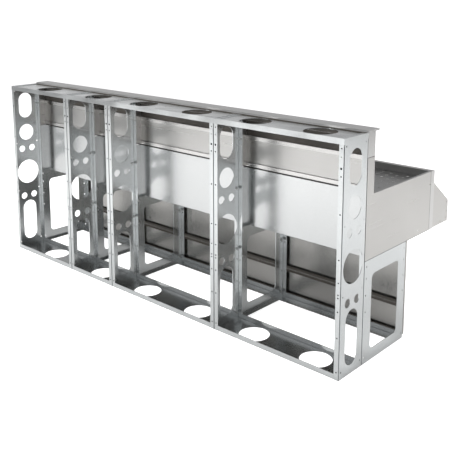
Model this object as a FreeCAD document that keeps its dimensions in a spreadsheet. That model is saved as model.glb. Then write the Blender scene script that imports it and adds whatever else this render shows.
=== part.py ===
import FreeCAD, Part

import math
import os
import re

import Sketcher

# A modular bar die: a galvanised wall frame of four bays, with a stainless underbar workboard
# behind it on a galvanised stand. Millimetres. +X runs along the wall to the right, +Y from the
# customer's side to the bartender's side, +Z up. The origin is on the floor, under the middle of
# the whole assembly. Depths named *_at are measured from the front of the wall.

DIMENSIONS = {
    # whole wall
    "length": 2438,
    "total_depth": 952,
    "bay_a": 563,
    "bay_b": 375,
    "bay_c": 780,
    "bay_d": 720,
    # galvanised sheet
    "gauge": 2,
    "bend": 3.5,
    "flange": 25,
    "lip": 25,
    "slack": 0.3,
    # wall studs and tracks
    "die_depth": 178,
    "die_height": 1041,
    "service_slot_width": 92,
    "low_slot_bottom": 41,
    "low_slot_top": 294,
    "high_slot_bottom": 833,
    "high_slot_top": 990,
    "pipe_hole": 150,
    "pipe_hole_height": 484,
    "duct_hole": 100,
    "duct_hole_height": 740,
    "cable_hole": 40,
    "cable_hole_spacing": 70,
    "low_cable_height": 330,
    "high_cable_height": 636,
    "riser_hole": 150,
    "bolt_hole": 8,
    "bolt_edge": 16,
    "web_bolt_low": 32,
    "web_bolt_middle": 368,
    "web_bolt_upper": 674,
    "web_bolt_high": 1007,
    "screw_hole": 7,
    "hook_hole": 10,
    "hook_hole_height": 917,
    "screw_edge": 13,
    # stand
    "stand_depth": 359,
    "cutout_depth": 231,
    "cutout_bottom": 53,
    "cutout_top": 406,
    "cutout_radius": 27,
    "stand_bolt_edge": 18,
    "sill_leg": 60,
    "panel_depth": 15,
    "panel_lip": 20,
    "panel_return": 14,
    "panel_gap": 1,
    "kick_bottom": 15,
    "kick_top": 160,
    "access_bottom": 164,
    "access_top": 475,
    # workboard
    "sheet": 1.5,
    "board_bottom": 476,
    "board_top": 768,
    "back_panel_at": 226,
    "back_panel_top": 768,
    "splash_at": 235,
    "splash_hem": 18,
    "splash_hem_depth": 7,
    "splash_low": 775,
    "splash_seam": 927,
    "side_strip_top": 933,
    "ledge_top": 1049,
    "ledge_at": 265,
    "ledge_nosing": 8,
    "cap_return": 34,
    "cap_tab": 100,
    "cap_tab_width": 24,
    "apron_seam_at": 758,
    "rim_at": 762,
    "rim_drop": 42,
    "board_front_at": 794,
    "well_margin": 12,
    "sheet_margin": 2,
    "drain_at": 400,
    "pan_floor": 712,
    "insert_top": 732,
    "insert_gap": 6,
    "perforation": 12.7,
    "perforation_pitch": 44.45,
    "drain_hole": 40,
    "tailpiece_outer": 38,
    "tailpiece_inner": 34,
    "sink_floor": 505,
    "bin_floor": 490,
    # bottle rail
    "rail_bottom": 479,
    "rail_front_top": 587,
    "rail_back_top": 705,
    "rail_plate": 2,
    "trough_back_top": 600,
}

BAYS = ("a", "b", "c", "d")
LEFT_EDGE = {
    "a": "-length / 2",
    "b": "-length / 2 + bay_a",
    "c": "-length / 2 + bay_a + bay_b",
    "d": "length / 2 - bay_d",
}
FLANGE_HOLE_HEIGHTS = (35, 189, 305, 366, 380, 432, 531, 725, 884)
REAR_SCREW_HEIGHTS = (965, 1000)
STAND_FLANGE_HEIGHTS = (35, 140, 189, 305, 432)
STAND_BOLT_HEIGHTS = (29, 243, 319, 396, 450)

doc = FreeCAD.newDocument("BarDie")
sheet = doc.addObject("Spreadsheet::Sheet", "Dimensions")
pieces = []


# ---- dimensions and formulas ----


def fill_sheet():
    for row, (name, number) in enumerate(DIMENSIONS.items(), start=1):
        sheet.set(f"A{row}", name)
        sheet.set(f"B{row}", str(number))
        sheet.setAlias(f"B{row}", name)
    doc.recompute()


def formula(text):
    """The text with each name of the sheet written as FreeCAD's expressions need it."""

    def qualified(match):
        word = match.group()
        return f"Dimensions.{word}" if word in DIMENSIONS else word

    return re.sub(r"[a-z_][a-z_0-9]*", qualified, str(text))


def amount(text):
    found = sheet.evalExpression(formula(text))
    return float(getattr(found, "Value", found))


def bind(item, name, text):
    item.setExpression(name, formula(text))


# ---- sketches ----


def new_body(label):
    body = doc.addObject("PartDesign::Body", label)
    body.Label = label
    pieces.append(body)
    return body


def place(body, x, y, turned=False):
    """Puts the body at x, y on the floor, turned half round about Z if asked."""
    angle = 180 if turned else 0
    spin = FreeCAD.Rotation(FreeCAD.Vector(0, 0, 1), angle)
    body.Placement = FreeCAD.Placement(FreeCAD.Vector(amount(x), amount(y), 0), spin)
    bind(body, "Placement.Base.x", x)
    bind(body, "Placement.Base.y", y)


def new_sketch(body, role, lift="0"):
    """A sketch on one of the body's own planes, moved along the plane's normal by lift."""
    sketch = body.newObject("Sketcher::SketchObject", "Sketch")
    plane = next(p for p in body.Origin.OriginFeatures if p.Role == role)
    sketch.AttachmentSupport = [(plane, "")]
    sketch.MapMode = "FlatFace"
    bind(sketch, "AttachmentOffset.Base.z", lift)
    return sketch


def fix_coordinate(sketch, kind, geometry, point, text):
    """Holds one coordinate of a point at a formula. kind is x or y."""
    if abs(amount(text)) < 1e-9:
        axis = -2 if kind == "x" else -1
        sketch.addConstraint(Sketcher.Constraint("PointOnObject", geometry, point, axis))
        return
    name = "DistanceX" if kind == "x" else "DistanceY"
    rule = Sketcher.Constraint(name, -1, 1, geometry, point, amount(text))
    index = sketch.addConstraint(rule)
    bind(sketch, f"Constraints[{index}]", text)


def fix_size(sketch, kind, geometry, text):
    index = sketch.addConstraint(Sketcher.Constraint(kind, geometry, amount(text)))
    bind(sketch, f"Constraints[{index}]", text)


def add_arc(sketch, corner, before, after, radius):
    """A quarter arc that rounds a corner between two runs. Returns it and its two end points,
    the one on the run before and the one on the run after."""
    centre = corner - before * radius + after * radius
    turn = before.x * after.y - before.y * after.x
    start = math.atan2((-after * radius).y, (-after * radius).x)
    stop = math.atan2((before * radius).y, (before * radius).x)
    if turn < 0:
        start, stop = stop, start
    if stop < start:
        stop += 2 * math.pi
    circle = Part.Circle(centre, FreeCAD.Vector(0, 0, 1), radius)
    arc = sketch.addGeometry(Part.ArcOfCircle(circle, start, stop), False)
    return (arc, 1, 2) if turn > 0 else (arc, 2, 1)


def add_outline(sketch, sides, bends=None):
    """A closed outline of upright and level runs. sides holds ("x", formula) for an upright run
    and ("y", formula) for a level one, in turn. bends holds corner number to radius formula;
    corner n lies between run n and the next."""
    bends = bends or {}
    count = len(sides)
    values = [amount(text) for _, text in sides]
    corners = []
    for i, (kind, _) in enumerate(sides):
        following = values[(i + 1) % count]
        pair = (values[i], following) if kind == "x" else (following, values[i])
        corners.append(FreeCAD.Vector(*pair, 0))
    runs = [(corners[i] - corners[i - 1]).normalize() for i in range(count)]
    radii = [amount(bends[i]) if i in bends else 0 for i in range(count)]
    lines = []
    for i, (kind, text) in enumerate(sides):
        start = corners[i - 1] + runs[i] * radii[i - 1]
        stop = corners[i] - runs[i] * radii[i]
        line = sketch.addGeometry(Part.LineSegment(start, stop), False)
        name = "Vertical" if kind == "x" else "Horizontal"
        sketch.addConstraint(Sketcher.Constraint(name, line))
        fix_coordinate(sketch, kind, line, 1, text)
        lines.append(line)
    for i in range(count):
        line, following = lines[i], lines[(i + 1) % count]
        if i not in bends:
            sketch.addConstraint(Sketcher.Constraint("Coincident", line, 2, following, 1))
            continue
        arc, near, far = add_arc(sketch, corners[i], runs[i], runs[(i + 1) % count], radii[i])
        sketch.addConstraint(Sketcher.Constraint("Tangent", line, 2, arc, near))
        sketch.addConstraint(Sketcher.Constraint("Tangent", arc, far, following, 1))
        fix_size(sketch, "Radius", arc, bends[i])


def add_rectangle(sketch, left, bottom, right, top, radius=None):
    sides = [("x", left), ("y", bottom), ("x", right), ("y", top)]
    add_outline(sketch, sides, {n: radius for n in range(4)} if radius else None)


def add_hole(sketch, x, y, diameter):
    centre = FreeCAD.Vector(amount(x), amount(y), 0)
    shape = Part.Circle(centre, FreeCAD.Vector(0, 0, 1), amount(diameter) / 2)
    circle = sketch.addGeometry(shape, False)
    fix_coordinate(sketch, "x", circle, 3, x)
    fix_coordinate(sketch, "y", circle, 3, y)
    fix_size(sketch, "Diameter", circle, diameter)


def add_slot(sketch, bottom, top, width):
    """An upright slot with round ends, centred on the sketch's own Y axis."""
    radius = amount(width) / 2
    ends = (f"{top} - {width} / 2", f"{bottom} + {width} / 2")
    arcs = []
    for text, start in zip(ends, (0, math.pi)):
        centre = FreeCAD.Vector(0, amount(text), 0)
        circle = Part.Circle(centre, FreeCAD.Vector(0, 0, 1), radius)
        arc = sketch.addGeometry(Part.ArcOfCircle(circle, start, start + math.pi), False)
        arcs.append(arc)
    high, low = amount(ends[0]), amount(ends[1])
    vector = FreeCAD.Vector
    left = sketch.addGeometry(Part.LineSegment(vector(-radius, high, 0), vector(-radius, low, 0)))
    right = sketch.addGeometry(Part.LineSegment(vector(radius, low, 0), vector(radius, high, 0)))
    upper, lower = arcs
    for first, end, second, start in (
        (upper, 2, left, 1),
        (left, 2, lower, 1),
        (lower, 2, right, 1),
        (right, 2, upper, 1),
    ):
        sketch.addConstraint(Sketcher.Constraint("Tangent", first, end, second, start))
    for arc, text in zip(arcs, ends):
        fix_coordinate(sketch, "x", arc, 3, "0")
        fix_coordinate(sketch, "y", arc, 3, text)
        fix_size(sketch, "Radius", arc, f"{width} / 2")


# ---- features ----


def pad(body, sketch, length, backwards=False):
    feature = body.newObject("PartDesign::Pad", "Pad")
    feature.Profile = sketch
    bind(feature, "Length", length)
    feature.Reversed = backwards
    sketch.Visibility = False
    doc.recompute()
    body.Tip = feature
    return feature


def cut(body, sketch, depth=None, backwards=False):
    """A pocket: right through both ways, or depth deep one way. It has to remove something."""
    before = body.Shape.Volume
    feature = body.newObject("PartDesign::Pocket", "Pocket")
    feature.Profile = sketch
    if depth is None:
        feature.Type = "ThroughAll"
        feature.Midplane = True
    else:
        bind(feature, "Length", depth)
        feature.Reversed = backwards
    doc.recompute()
    body.Tip = feature
    doc.recompute()
    if not feature.Shape.Volume < before - 1e-3:
        raise RuntimeError(f"a pocket of {body.Label} removed nothing")
    return feature


def round_level_edges(body, height, radius):
    """Rounds the edges that lie at one height."""
    base = body.Tip
    names = []
    for number, edge in enumerate(base.Shape.Edges, start=1):
        box = edge.BoundBox
        if abs(box.ZMin - height) < 1e-6 and abs(box.ZMax - height) < 1e-6:
            names.append(f"Edge{number}")
    feature = body.newObject("PartDesign::Fillet", "Fillet")
    feature.Base = (base, names)
    bind(feature, "Radius", radius)
    doc.recompute()
    body.Tip = feature
    doc.recompute()


def hollow_from_above(body):
    """Turns a block into an open box of sheet metal, by removing its top face."""
    base = body.Tip
    top = base.Shape.BoundBox.ZMax - 1e-6
    names = []
    for number, face in enumerate(base.Shape.Faces, start=1):
        if face.BoundBox.ZMin > top:
            names.append(f"Face{number}")
    feature = body.newObject("PartDesign::Thickness", "Thickness")
    feature.Base = (base, names)
    feature.Mode = "Skin"
    feature.Join = "Arc"
    feature.Reversed = True
    bind(feature, "Value", "sheet")
    doc.recompute()
    body.Tip = feature
    doc.recompute()


def channel_sides(depth):
    """A C section: web on x = 0, flanges towards +X at both ends of depth. Its bends too."""
    sides = [
        ("x", "0"),
        ("y", f"-{depth} / 2"),
        ("x", "flange"),
        ("y", f"gauge - {depth} / 2"),
        ("x", "gauge"),
        ("y", f"{depth} / 2 - gauge"),
        ("x", "flange"),
        ("y", f"{depth} / 2"),
    ]
    bends = {0: "bend", 3: "bend - gauge", 4: "bend - gauge", 7: "bend"}
    return sides, bends


# ---- wall ----

DIE_MIDDLE = "-total_depth / 2 + die_depth / 2"
STAND_MIDDLE = "-total_depth / 2 + die_depth + stand_depth / 2"
DIE_FRONT = "-total_depth / 2"


def make_stud(label, x, turned):
    """A C stud. The web is punched for pipes, ducts and cables, and its top has a tab that the
    top track lies under."""
    body = new_body(label)
    profile = new_sketch(body, "XY_Plane")
    add_outline(profile, *channel_sides("die_depth"))
    pad(body, profile, "die_height - lip")
    crown = new_sketch(body, "XY_Plane", "die_height - lip")
    add_rectangle(crown, "0", "-die_depth / 2", "gauge", "die_depth / 2")
    pad(body, crown, "lip")
    tab = new_sketch(body, "XY_Plane", "die_height - 2 * gauge")
    tab_edge = "die_depth / 2 - gauge - slack"
    add_rectangle(tab, "gauge", f"-({tab_edge})", "flange", tab_edge)
    pad(body, tab, "gauge")
    web = new_sketch(body, "YZ_Plane")
    add_slot(web, "low_slot_bottom", "low_slot_top", "service_slot_width")
    add_slot(web, "high_slot_bottom", "high_slot_top", "service_slot_width")
    add_hole(web, "0", "pipe_hole_height", "pipe_hole")
    add_hole(web, "0", "duct_hole_height", "duct_hole")
    for side in (-1, 1):
        for height in ("low_cable_height", "high_cable_height"):
            add_hole(web, f"{side} * cable_hole_spacing / 2", height, "cable_hole")
        for height in ("web_bolt_low", "web_bolt_middle", "web_bolt_upper", "web_bolt_high"):
            add_hole(web, f"{side} * (die_depth / 2 - bolt_edge)", height, "bolt_hole")
    cut(body, web)
    both_flanges = new_sketch(body, "XZ_Plane")
    for height in FLANGE_HOLE_HEIGHTS:
        add_hole(both_flanges, "screw_edge", height, "screw_hole")
    add_hole(both_flanges, "screw_edge", "hook_hole_height", "hook_hole")
    cut(body, both_flanges)
    rear = new_sketch(body, "XZ_Plane")
    for height in REAR_SCREW_HEIGHTS:
        add_hole(rear, "screw_edge", height, "screw_hole")
    cut(body, rear)
    place(body, x, DIE_MIDDLE, turned)


def corner_notches(body, width, reach):
    """Cuts a track's four corners so that it clears the studs' flanges."""
    notches = new_sketch(body, "XY_Plane")
    inner = "die_depth / 2 - bend - slack"
    outer = "die_depth / 2 + lip"
    near, far = reach, f"{width} - ({reach})"
    for left, right in (("-lip", near), (far, f"{width} + lip")):
        add_rectangle(notches, left, inner, right, outer)
        add_rectangle(notches, left, f"-({outer})", right, f"-({inner})")
    cut(body, notches)


def riser_holes(body, width, count):
    holes = new_sketch(body, "XY_Plane")
    for i in range(count):
        add_hole(holes, f"{width} * {(2 * i + 1) / (2 * count)}", "0", "riser_hole")
    cut(body, holes)


def make_bottom_track(label, x, width, holes):
    """A tray on the floor between two studs, with its lips up."""
    body = new_body(label)
    profile = new_sketch(body, "YZ_Plane", "gauge + slack")
    sides = [
        ("x", "-die_depth / 2"),
        ("y", "0"),
        ("x", "die_depth / 2"),
        ("y", "lip"),
        ("x", "die_depth / 2 - gauge"),
        ("y", "gauge"),
        ("x", "gauge - die_depth / 2"),
        ("y", "lip"),
    ]
    add_outline(profile, sides, {0: "bend", 1: "bend", 4: "bend - gauge", 5: "bend - gauge"})
    pad(body, profile, f"{width} - 2 * (gauge + slack)")
    corner_notches(body, width, "flange + slack")
    riser_holes(body, width, holes)
    place(body, x, DIE_MIDDLE)


def make_top_track(label, x, width, holes):
    """A top track: its web is set down from the tops of its lips, which hang down."""
    body = new_body(label)
    profile = new_sketch(body, "YZ_Plane", "gauge + slack")
    sides = [
        ("x", "-die_depth / 2"),
        ("y", "die_height - lip"),
        ("x", "gauge - die_depth / 2"),
        ("y", "die_height - 3 * gauge"),
        ("x", "die_depth / 2 - gauge"),
        ("y", "die_height - lip"),
        ("x", "die_depth / 2"),
        ("y", "die_height"),
        ("x", "die_depth / 2 - gauge"),
        ("y", "die_height - 2 * gauge"),
        ("x", "gauge - die_depth / 2"),
        ("y", "die_height"),
    ]
    add_outline(profile, sides)
    pad(body, profile, f"{width} - 2 * (gauge + slack)")
    riser_holes(body, width, holes)
    place(body, x, DIE_MIDDLE)


# ---- stand ----


def make_side_frame(label, x, turned):
    """A side frame of the stand: a flanged plate with a large round-cornered cut-out."""
    body = new_body(label)
    profile = new_sketch(body, "XY_Plane")
    add_outline(profile, *channel_sides("stand_depth"))
    pad(body, profile, "board_bottom")
    edge = "stand_depth / 2 - gauge"
    for lift in ("0", "board_bottom - gauge"):
        flange = new_sketch(body, "XY_Plane", lift)
        add_rectangle(flange, "gauge", f"-({edge})", "flange", edge)
        pad(body, flange, "gauge")
    web = new_sketch(body, "YZ_Plane")
    half = "cutout_depth / 2"
    add_rectangle(web, f"-{half}", "cutout_bottom", half, "cutout_top", "cutout_radius")
    for side in (-1, 1):
        for height in STAND_BOLT_HEIGHTS:
            add_hole(web, f"{side} * (stand_depth / 2 - stand_bolt_edge)", height, "bolt_hole")
    cut(body, web)
    flanges = new_sketch(body, "XZ_Plane")
    for height in STAND_FLANGE_HEIGHTS:
        add_hole(flanges, "screw_edge", height, "screw_hole")
    cut(body, flanges)
    place(body, x, STAND_MIDDLE, turned)


def make_sill_rail(label, x, width):
    """The angle on the floor between two side frames, under the toe-kick panel."""
    body = new_body(label)
    profile = new_sketch(body, "YZ_Plane", "flange + slack")
    front = "die_depth + stand_depth"
    sides = [
        ("x", f"{front} - sill_leg"),
        ("y", "0"),
        ("x", front),
        ("y", "lip"),
        ("x", f"{front} - gauge"),
        ("y", "gauge"),
    ]
    add_outline(profile, sides, {1: "bend", 4: "bend - gauge"})
    pad(body, profile, f"{width} - 2 * (flange + slack)")
    place(body, x, DIE_FRONT)


def make_front_panel(label, x, width, bottom, top, screw_heights):
    """A shallow pan that closes the front of one bay of the stand. Its returns face back."""
    body = new_body(label)
    far = f"{width} - panel_gap"
    sides = [
        ("y", "panel_depth"),
        ("x", "panel_gap"),
        ("y", "0"),
        ("x", "panel_gap + panel_lip"),
        ("y", "sheet"),
        ("x", "panel_gap + sheet"),
        ("y", "panel_depth - sheet"),
        ("x", f"{far} - sheet"),
        ("y", "sheet"),
        ("x", f"{far} - panel_lip"),
        ("y", "0"),
        ("x", far),
    ]
    outer, inner = "2 * sheet", "sheet"
    bends = {0: outer, 1: outer, 4: inner, 5: inner, 6: inner, 7: inner, 10: outer, 11: outer}
    profile = new_sketch(body, "XY_Plane", bottom)
    add_outline(profile, sides, bends)
    pad(body, profile, f"{top} - {bottom}")
    left, right = "panel_gap + sheet", f"{far} - sheet"
    for lift in (bottom, f"{top} - sheet"):
        end = new_sketch(body, "XY_Plane", lift)
        add_rectangle(end, left, "sheet", right, "panel_depth - sheet")
        pad(body, end, "sheet")
    inner_left, inner_right = "panel_gap + panel_lip", f"{far} - panel_lip"
    for lift in (bottom, f"{top} - panel_return"):
        lip = new_sketch(body, "XY_Plane", lift)
        add_rectangle(lip, inner_left, "0", inner_right, "sheet")
        pad(body, lip, "panel_return")
    holes = new_sketch(body, "XZ_Plane")
    for across in ("screw_edge", f"{width} - screw_edge"):
        for height in screw_heights:
            add_hole(holes, across, height, "screw_hole")
    cut(body, holes)
    place(body, x, "-total_depth / 2 + die_depth + stand_depth")


# ---- workboard ----


def make_back_panel(label, x, width):
    """The galvanised sheet that closes the back of the workboard in one bay, with a return
    towards the wall at each side."""
    body = new_body(label)
    profile = new_sketch(body, "YZ_Plane", "sheet_margin")
    sides = [
        ("x", "back_panel_at"),
        ("y", "board_bottom"),
        ("x", "back_panel_at + lip"),
        ("y", "board_bottom + gauge"),
        ("x", "back_panel_at + gauge"),
        ("y", "back_panel_top"),
    ]
    add_outline(profile, sides, {0: "bend", 3: "bend - gauge"})
    pad(body, profile, f"{width} - 2 * sheet_margin")
    returns = new_sketch(body, "XY_Plane", "board_bottom")
    rear, front = "back_panel_at + gauge / 2", "die_depth + 2 * sheet"
    for left in ("sheet_margin", f"{width} - sheet_margin - gauge"):
        add_rectangle(returns, left, front, f"{left} + gauge", rear)
    pad(body, returns, "back_panel_top - board_bottom")
    place(body, x, DIE_FRONT)


def make_side_panel(label, x, left):
    """An end of the workboard: side of the wells, end of the backsplash, and the returns that
    stiffen it. left says which end it is."""
    body = new_body(label)
    sign = 1 if left else -1
    face = new_sketch(body, "YZ_Plane")
    sides = [
        ("x", "die_depth"),
        ("y", "board_bottom"),
        ("x", "apron_seam_at - slack"),
        ("y", "board_top"),
        ("x", "splash_at"),
        ("y", "side_strip_top"),
    ]
    add_outline(face, sides, {3: "4 * sheet"})
    add_hole(face, "apron_seam_at - 108", "board_bottom + 24", "screw_hole")
    add_hole(face, "apron_seam_at - 8", "board_top - 63", "screw_hole")
    pad(body, face, "sheet", backwards=not left)
    rear = new_sketch(body, "XY_Plane", "board_bottom")
    inward = [f"{sign} * sheet", f"{sign} * lip"]
    near, far = inward if left else reversed(inward)
    add_rectangle(rear, near, "die_depth", far, "die_depth + sheet")
    pad(body, rear, "side_strip_top - board_bottom")
    foot = new_sketch(body, "XY_Plane", "board_bottom")
    foot_start = "back_panel_at + lip + slack"
    add_rectangle(foot, near, foot_start, far, "apron_seam_at - slack")
    pad(body, foot, "sheet")
    holes = new_sketch(body, "XZ_Plane", "-die_depth")
    for height in FLANGE_HOLE_HEIGHTS[6:]:
        add_hole(holes, f"{sign} * screw_edge", height, "screw_hole")
    cut(body, holes, "2 * sheet")
    place(body, x, DIE_FRONT)


def make_front_apron():
    """The front of the workboard with its rolled rim, closed at both ends."""
    body = new_body("front_apron")
    profile = new_sketch(body, "YZ_Plane", "-length / 2 + sheet")
    sides = [
        ("x", "board_front_at"),
        ("y", "board_bottom"),
        ("x", "apron_seam_at"),
        ("y", "board_bottom + sheet"),
        ("x", "board_front_at - sheet"),
        ("y", "board_top - sheet"),
        ("x", "rim_at + sheet"),
        ("y", "board_top - rim_drop"),
        ("x", "rim_at"),
        ("y", "board_top"),
    ]
    outer, inner = "3 * sheet", "2 * sheet"
    add_outline(profile, sides, {0: outer, 3: inner, 4: inner, 5: inner, 8: outer, 9: outer})
    pad(body, profile, "length - 2 * sheet")
    for lift in ("-length / 2", "length / 2 - sheet"):
        end = new_sketch(body, "YZ_Plane", lift)
        edges = [
            ("x", "apron_seam_at"),
            ("y", "board_bottom"),
            ("x", "board_front_at"),
            ("y", "board_top"),
        ]
        add_outline(end, edges, {1: outer, 2: outer})
        pad(body, end, "sheet")
    place(body, "0", DIE_FRONT)


def add_fins(body, low, high, front, rear):
    """Upright plates across the space behind the studs, one at each joint between bays."""
    fins = new_sketch(body, "XY_Plane", low)
    for bay in BAYS[1:]:
        joint = LEFT_EDGE[bay]
        add_rectangle(fins, f"{joint} - gauge / 2", front, f"{joint} + gauge / 2", rear)
    pad(body, fins, f"{high} - ({low})")


def make_lower_splash():
    """The lower backsplash sheet, hemmed back along both long edges, with its fins."""
    body = new_body("lower_backsplash")
    profile = new_sketch(body, "YZ_Plane", "-length / 2 + sheet_margin")
    hem = "splash_at - splash_hem_depth"
    sides = [
        ("x", "splash_at"),
        ("y", "splash_low"),
        ("x", hem),
        ("y", "splash_low + splash_hem"),
        ("x", f"{hem} + sheet"),
        ("y", "splash_low + sheet"),
        ("x", "splash_at - sheet"),
        ("y", "splash_seam - sheet"),
        ("x", f"{hem} + sheet"),
        ("y", "splash_seam - splash_hem"),
        ("x", hem),
        ("y", "splash_seam"),
    ]
    add_outline(profile, sides)
    pad(body, profile, "length - 2 * sheet_margin")
    skin_middle = "splash_at - sheet / 2"
    add_fins(body, "splash_low", "splash_seam", "die_depth + slack", skin_middle)
    place(body, "0", DIE_FRONT)


def cap_tab_spans():
    """From where to where each tab of the backsplash cap runs: one behind each pair of studs
    and one at each end."""
    spans = [("-length / 2 + slack", "-length / 2 + cap_tab_width")]
    for bay in BAYS[1:]:
        joint = LEFT_EDGE[bay]
        spans.append((f"{joint} - cap_tab_width", f"{joint} + cap_tab_width"))
    spans.append(("length / 2 - cap_tab_width", "length / 2 - slack"))
    return spans


def make_splash_cap():
    """The upper backsplash, the ledge that a bar top's edge lies on, and the tabs that hang
    down behind the studs and are screwed to them."""
    body = new_body("backsplash_cap")
    profile = new_sketch(body, "YZ_Plane", "-length / 2 + sheet")
    under = "ledge_top - sheet"
    sides = [
        ("x", "die_depth"),
        ("y", "ledge_top - cap_return"),
        ("x", "die_depth + sheet"),
        ("y", under),
        ("x", "splash_at - sheet"),
        ("y", "splash_seam + slack"),
        ("x", "splash_at"),
        ("y", under),
        ("x", "ledge_at - sheet"),
        ("y", "ledge_top - ledge_nosing"),
        ("x", "ledge_at"),
        ("y", "ledge_top"),
    ]
    add_outline(profile, sides, {10: "2 * sheet"})
    pad(body, profile, "length - 2 * sheet")
    for lift in ("-length / 2", "length / 2 - sheet"):
        strip = new_sketch(body, "YZ_Plane", lift)
        low = "side_strip_top + slack"
        add_rectangle(strip, "die_depth", low, "splash_at", "ledge_top")
        pad(body, strip, "sheet")
        ledge_end = new_sketch(body, "YZ_Plane", lift)
        low = "ledge_top - ledge_nosing"
        add_rectangle(ledge_end, "splash_at", low, "ledge_at", "ledge_top")
        pad(body, ledge_end, "sheet")
    tabs = new_sketch(body, "XY_Plane", "ledge_top - cap_tab")
    for left, right in cap_tab_spans():
        add_rectangle(tabs, left, "die_depth", right, "die_depth + sheet")
    pad(body, tabs, "cap_tab - cap_return / 2")
    front, rear = "die_depth + sheet / 2", "splash_at - sheet / 2"
    add_fins(body, "splash_seam + slack", "ledge_top - sheet / 2", front, rear)
    holes = new_sketch(body, "XZ_Plane", "-die_depth")
    for bay in BAYS:
        for across in (f"{LEFT_EDGE[bay]} + screw_edge", f"{LEFT_EDGE[bay]} + bay_{bay} - screw_edge"):
            for height in REAR_SCREW_HEIGHTS:
                add_hole(holes, across, height, "screw_hole")
    cut(body, holes, "2 * sheet")
    place(body, "0", DIE_FRONT)


def make_well(bay, label, floor, corner, floor_radius, inserts=1):
    """An open box that hangs between the backsplash and the front rim: a drainboard pan, the
    sink or the ice bin. inserts is how many tray inserts lie in it side by side."""
    body = new_body(label)
    width = f"bay_{bay}"
    right = f"{width} - well_margin"
    block = new_sketch(body, "XY_Plane", floor)
    edges = ("well_margin", "splash_at + slack", right, "rim_at - slack")
    add_rectangle(block, *edges, f"{corner} + sheet")
    pad(body, block, f"board_top - {floor}")
    round_level_edges(body, amount(floor), f"{floor_radius} + sheet")
    hollow_from_above(body)
    rim = new_sketch(body, "XY_Plane", "board_top - sheet")
    rim_left = "sheet + slack" if bay == "a" else "slack"
    rim_right = "sheet + slack" if bay == "d" else "slack"
    add_rectangle(rim, rim_left, edges[1], f"{width} - ({rim_right})", edges[3])
    inner = ("well_margin + sheet", f"{edges[1]} + sheet", f"{right} - sheet", f"{edges[3]} - sheet")
    add_rectangle(rim, *inner, corner)
    pad(body, rim, "sheet")
    drain = new_sketch(body, "XY_Plane", floor)
    drain_x, drain_y = drain_place(width, inserts)
    add_hole(drain, drain_x, drain_y, "drain_hole")
    cut(body, drain, "2 * sheet", backwards=True)
    place(body, LEFT_EDGE[bay], DIE_FRONT)


def drain_place(width, inserts):
    """Where a well's drain is: under the middle of its first insert."""
    across = f"well_margin + ({width} - 2 * well_margin) / {2 * inserts}"
    return across, "drain_at"


def make_insert(label, x, width, parts, place_in_row, rows):
    """A perforated tray insert with its edges turned down, which lifts out of its pan."""
    body = new_body(label)
    pitch = f"({width} - 2 * well_margin) / {parts}"
    left = f"well_margin + {pitch} * {place_in_row} + insert_gap / 2"
    right = f"well_margin + {pitch} * {place_in_row + 1} - insert_gap / 2"
    rear, front = "splash_at + 3 * sheet", "rim_at - 3 * sheet"
    block = new_sketch(body, "XY_Plane", "pan_floor + sheet + slack")
    add_rectangle(block, left, rear, right, front, "6 * sheet")
    pad(body, block, "insert_top - pan_floor - sheet - slack")
    hollow = new_sketch(body, "XY_Plane", "pan_floor + sheet + slack")
    edges = (f"{left} + sheet", f"{rear} + sheet", f"{right} - sheet", f"{front} - sheet")
    add_rectangle(hollow, *edges, "5 * sheet")
    cut(body, hollow, "insert_top - pan_floor - 2 * sheet - slack", backwards=True)
    round_level_edges(body, amount("insert_top"), "sheet")
    holes = new_sketch(body, "XY_Plane", "insert_top")
    middle_x = f"({left} + {right}) / 2"
    middle_y = f"({rear} + {front}) / 2"
    for row in range(rows):
        count = 11 - row % 2
        across = f"{middle_x} + perforation_pitch * {row - (rows - 1) / 2}"
        for i in range(count):
            along = f"{middle_y} + perforation_pitch * {i - (count - 1) / 2}"
            add_hole(holes, across, along, "perforation")
    cut(body, holes, "2 * sheet")
    place(body, x, DIE_FRONT)


# ---- bottle rail ----


def make_rail_bracket(label, x, left):
    """A sloping end plate of the bottle rail, with the flange that fixes it to the apron."""
    body = new_body(label)
    face = new_sketch(body, "YZ_Plane")
    back, front = "board_front_at", "total_depth"
    corners = [
        (back, "rail_bottom"),
        (front, "rail_bottom"),
        (front, "rail_front_top"),
        (back, "rail_back_top"),
    ]
    points = [FreeCAD.Vector(amount(y), amount(z), 0) for y, z in corners]
    for i, start in enumerate(points):
        sketch_line = Part.LineSegment(start, points[(i + 1) % 4])
        face.addGeometry(sketch_line, False)
    for i, (y, z) in enumerate(corners):
        face.addConstraint(Sketcher.Constraint("Coincident", i - 1 if i else 3, 2, i, 1))
        fix_coordinate(face, "x", i, 1, y)
        fix_coordinate(face, "y", i, 1, z)
    for height in ("rail_bottom + 20", "(rail_bottom + rail_front_top) / 2", "rail_front_top - 8"):
        add_hole(face, "total_depth - 14", height, "screw_hole")
    add_hole(face, "(board_front_at + total_depth) / 2", "rail_bottom + 12", "screw_hole")
    pad(body, face, "rail_plate", backwards=not left)
    flange = new_sketch(body, "XY_Plane", "rail_bottom")
    sign = 1 if left else -1
    ends = [f"{sign} * rail_plate", f"{sign} * flange"]
    near, far = ends if left else reversed(ends)
    add_rectangle(flange, near, back, far, f"{back} + rail_plate")
    pad(body, flange, "rail_back_top - rail_bottom - lip")
    place(body, x, DIE_FRONT)


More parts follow.
